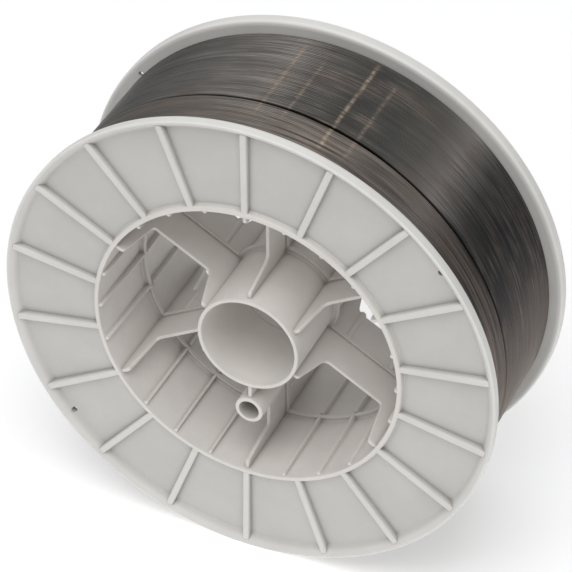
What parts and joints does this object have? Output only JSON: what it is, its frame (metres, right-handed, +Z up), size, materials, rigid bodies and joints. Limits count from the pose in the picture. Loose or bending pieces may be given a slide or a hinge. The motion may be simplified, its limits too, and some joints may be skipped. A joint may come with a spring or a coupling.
{
  "type": "welding wire spool",
  "caption": "Plastic spool of solid steel MIG welding wire, wound full, with spoked hub, spindle bore, drive pin hole and ribbed flanges, standing on its rims.",
  "frame": {"origin": "middle of the spindle bore, half way between the two flanges' outer faces", "axes": "+Y along the bore from the front flange to the back flange, +Z up; the drive pin tube is straight below the bore"},
  "size_m": [0.27, 0.102, 0.27],
  "materials": {
    "spool_plastic": "satin, light warm grey, as moulded",
    "steel_wire": "dark drawn wire with a light oxide film"
  },
  "bodies": {
    "root": {"front_spool_half": "spool_plastic", "back_spool_half": "spool_plastic", "wire_winding": "steel_wire"}
  },
  "joints": []
}
